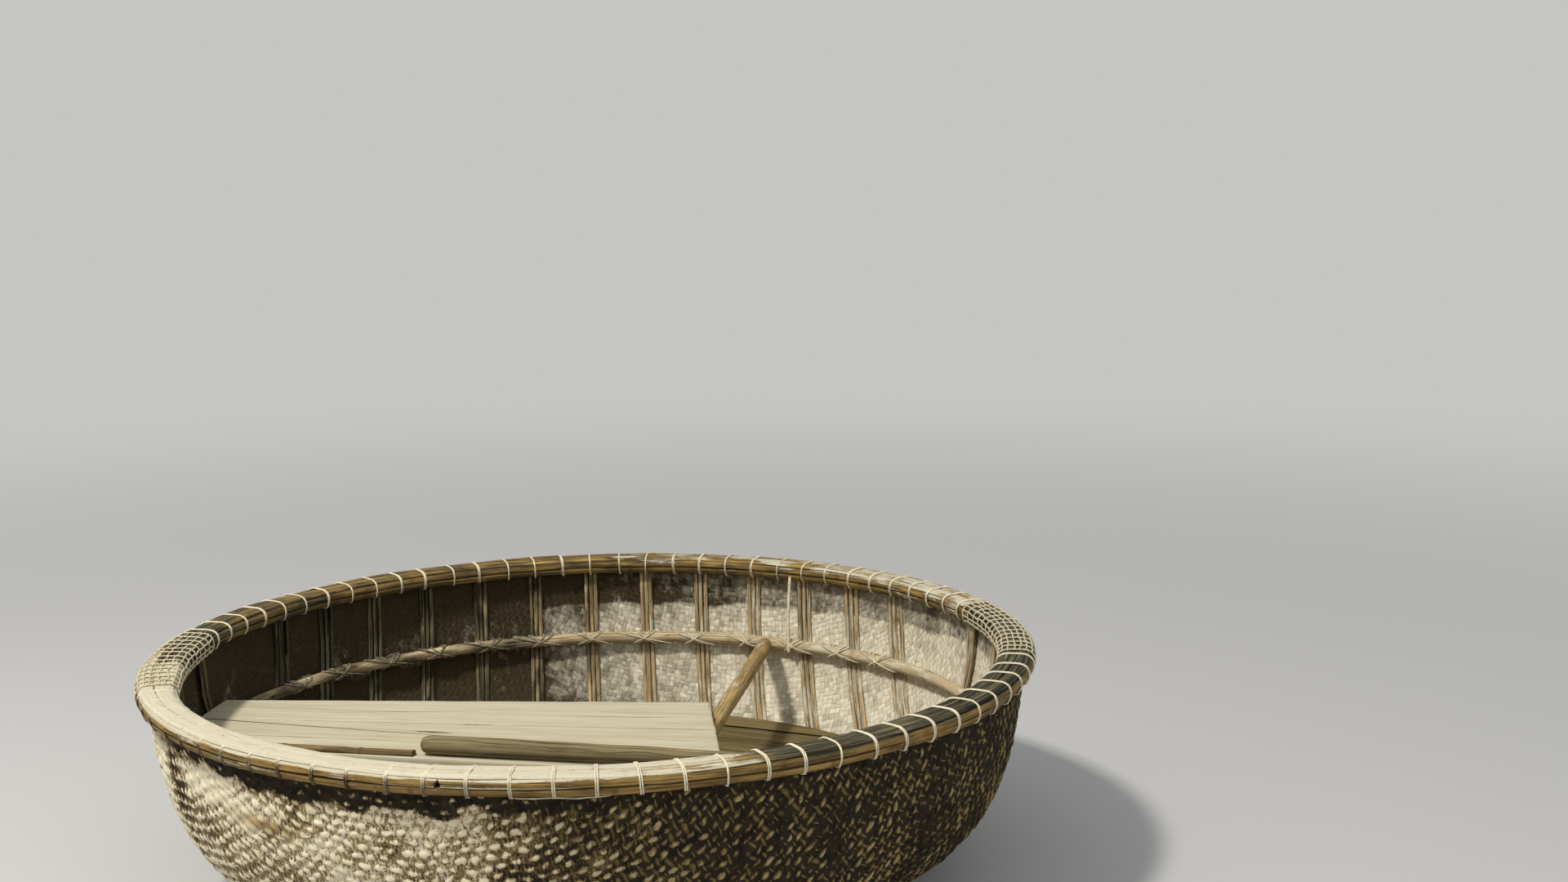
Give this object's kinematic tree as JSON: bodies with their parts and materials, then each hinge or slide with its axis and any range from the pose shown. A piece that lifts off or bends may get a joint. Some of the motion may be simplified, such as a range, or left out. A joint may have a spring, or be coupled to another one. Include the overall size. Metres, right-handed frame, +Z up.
{
  "type": "round woven bamboo basket boat (coracle)",
  "caption": "Round woven bamboo basket boat with a lashed split-bamboo rim, ribs, inner hoop, plank floor, seat boards and paddle, for one or two people on calm water.",
  "frame": {"origin": "on the boat's upright axis, at the waterline", "axes": "+Z up; -Y towards the side that faces the viewer, +X to the viewer's right"},
  "size_m": [2.2076, 2.2048, 0.7201],
  "materials": {
    "woven_bamboo": "split bamboo weave sealed with dark resin, worn pale on its crowns",
    "rim_bamboo": "weathered split bamboo, bleached on top and golden brown on its faces",
    "twine": "pale nylon twine",
    "net_twine": "pale nylon net, dusty",
    "rib_bamboo": "golden brown split bamboo",
    "hoop_bamboo": "whole bamboo, straw coloured",
    "bearer_bamboo": "whole bamboo, weathered",
    "batten_bamboo": "half bamboo, brown",
    "floor_wood": "grey-brown weathered wood",
    "seat_wood": "sun-bleached wood",
    "paddle_wood": "grey weathered wood"
  },
  "bodies": {
    "root": {"hull_basket": "woven_bamboo", "rim_lashings": "twine", "rim_net_left": "net_twine", "rim_net_right": "net_twine", "long_ribs": "rib_bamboo", "cross_ribs": "rib_bamboo", "stringer_hoop": "hoop_bamboo", "floor_bearers": "bearer_bamboo", "seat_bearer": "bearer_bamboo", "seat_batten": "batten_bamboo", "seat_board_1": "seat_wood", "seat_board_2": "seat_wood", "seat_board_3": "seat_wood", "paddle": "paddle_wood", "rim_outer_strip_lower": "rim_bamboo", "rim_outer_strip_upper": "rim_bamboo", "rim_inner_strip_lower": "rim_bamboo", "rim_inner_strip_upper": "rim_bamboo", "rim_cap_strip_outer": "rim_bamboo", "rim_cap_strip_inner": "rim_bamboo", "floor_plank_01": "floor_wood", "floor_plank_02": "floor_wood", "floor_plank_03": "floor_wood", "floor_plank_04": "floor_wood", "floor_plank_05": "floor_wood", "floor_plank_06": "floor_wood", "floor_plank_07": "floor_wood", "floor_plank_08": "floor_wood", "floor_plank_09": "floor_wood", "floor_plank_10": "floor_wood", "floor_plank_11": "floor_wood", "floor_plank_12": "floor_wood", "floor_plank_13": "floor_wood", "floor_plank_14": "floor_wood", "floor_plank_15": "floor_wood", "floor_plank_16": "floor_wood", "floor_plank_17": "floor_wood"}
  },
  "joints": []
}
